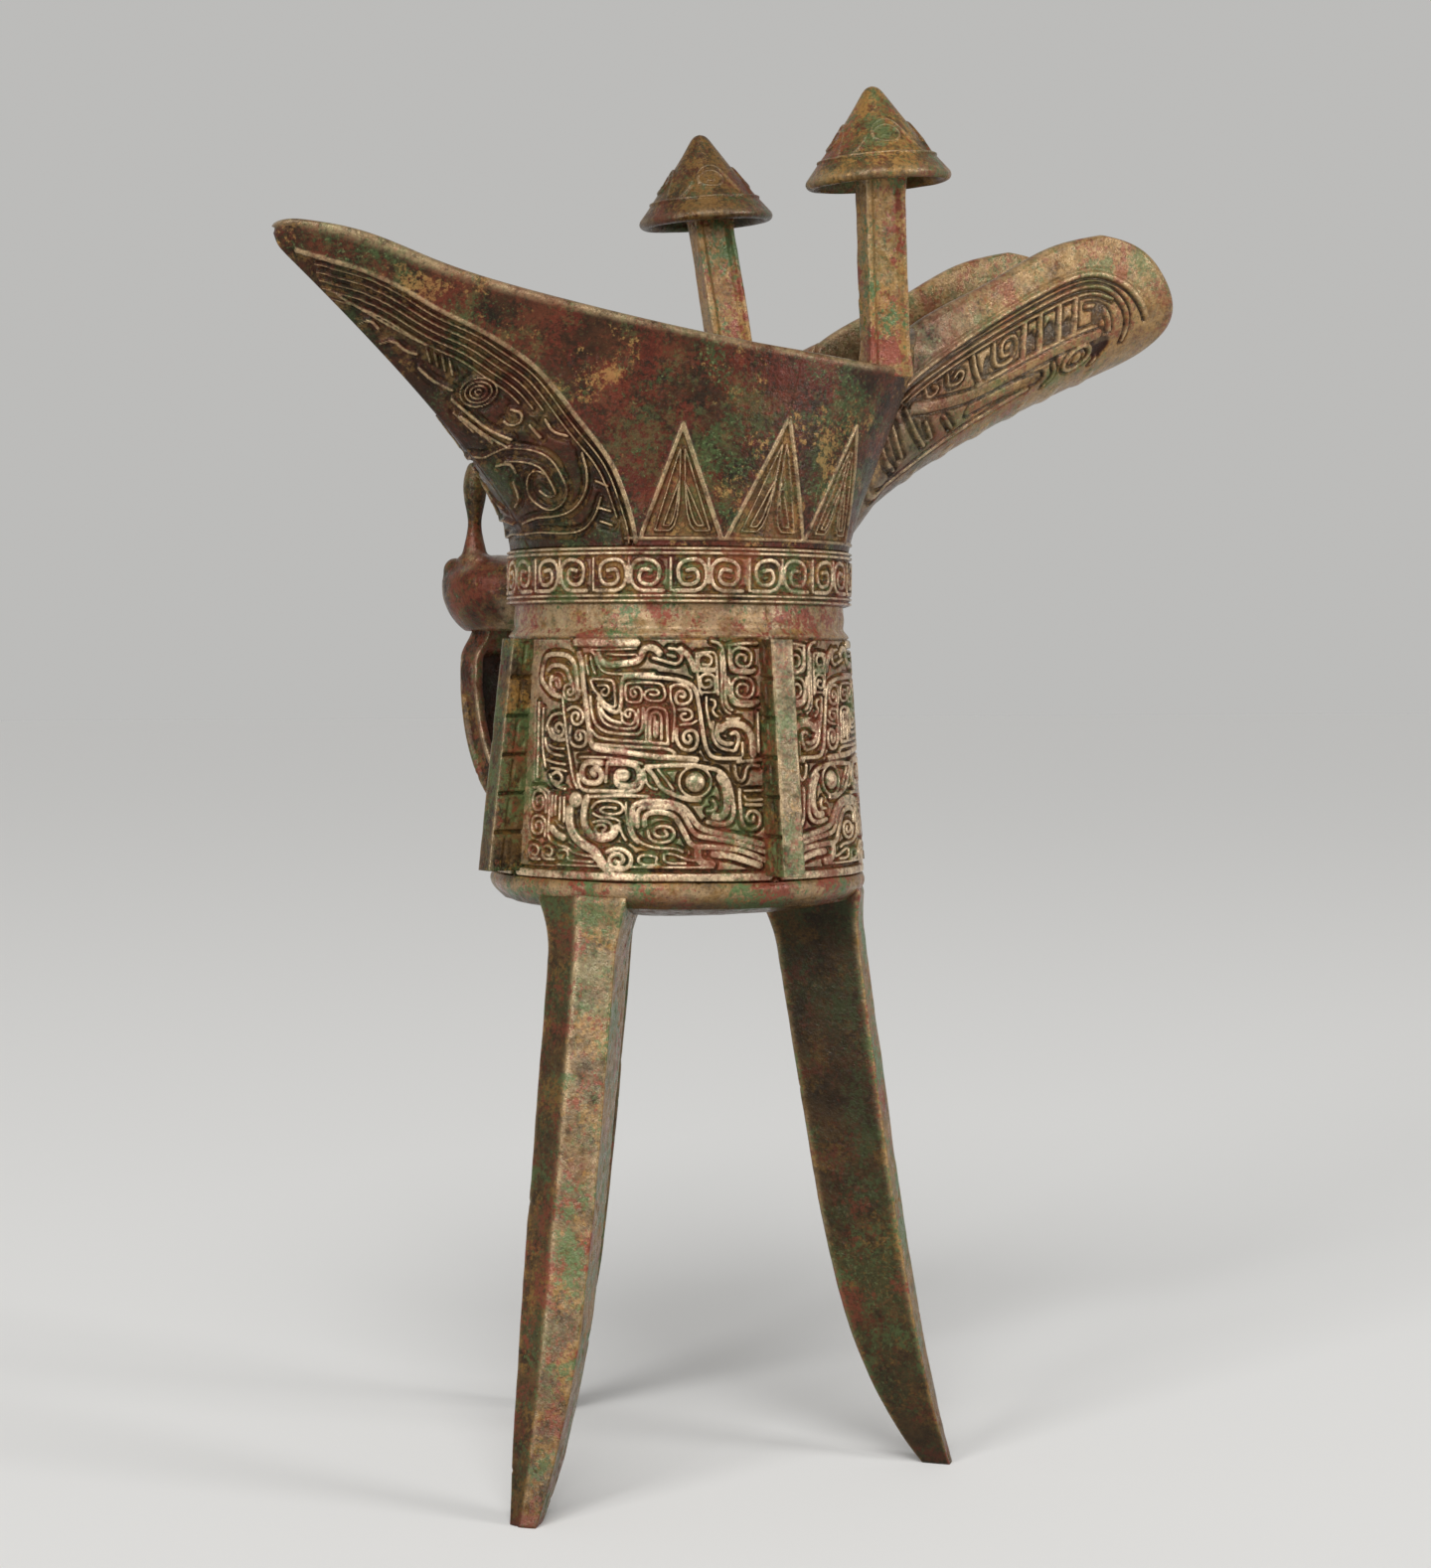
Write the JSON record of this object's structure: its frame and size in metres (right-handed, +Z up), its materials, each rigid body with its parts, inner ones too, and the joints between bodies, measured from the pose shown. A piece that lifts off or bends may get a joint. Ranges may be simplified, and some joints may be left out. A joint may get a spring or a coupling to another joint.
{
  "type": "bronze jue vessel",
  "caption": "Footed ritual wine vessel with a deep cup, open spout, pointed tail, capped posts, strap handle and splayed blade legs, cast in patinated bronze.",
  "frame": {"origin": "on the vessel's upright axis, on the surface that the three feet stand on", "axes": "+Z up along the cup's axis, +X towards the spout, -X towards the tail, handle near +Y"},
  "size_m": [0.1551, 0.0934, 0.21],
  "materials": {
    "cup_bronze": "brown and olive patina with pale worn relief and ochre dust in the recesses",
    "mouth_bronze": "dark red and brown patina with green speckles and pale rubbed rims",
    "handle_bronze": "dark brown patina, rubbed bright on its crowns",
    "post_bronze": "ochre and green patina, pitted",
    "leg_bronze": "brown patina with green and red clouds and grey rubbed facets",
    "flange_bronze": "grey-brown patina, worn smooth on the outer edge"
  },
  "bodies": {
    "root": {"base_plate": "cup_bronze", "cup_wall": "cup_bronze", "neck_band": "cup_bronze", "mouth_collar": "mouth_bronze", "spout": "mouth_bronze", "handle_strap": "handle_bronze", "handle_head": "handle_bronze", "near_post": "post_bronze", "far_post": "post_bronze", "near_post_cap": "post_bronze", "far_post_cap": "post_bronze", "leg_tail_side": "leg_bronze", "leg_spout_side": "leg_bronze", "leg_handle_side": "leg_bronze", "tail_flange": "flange_bronze", "front_flange": "flange_bronze", "spout_flange": "flange_bronze"}
  },
  "joints": []
}
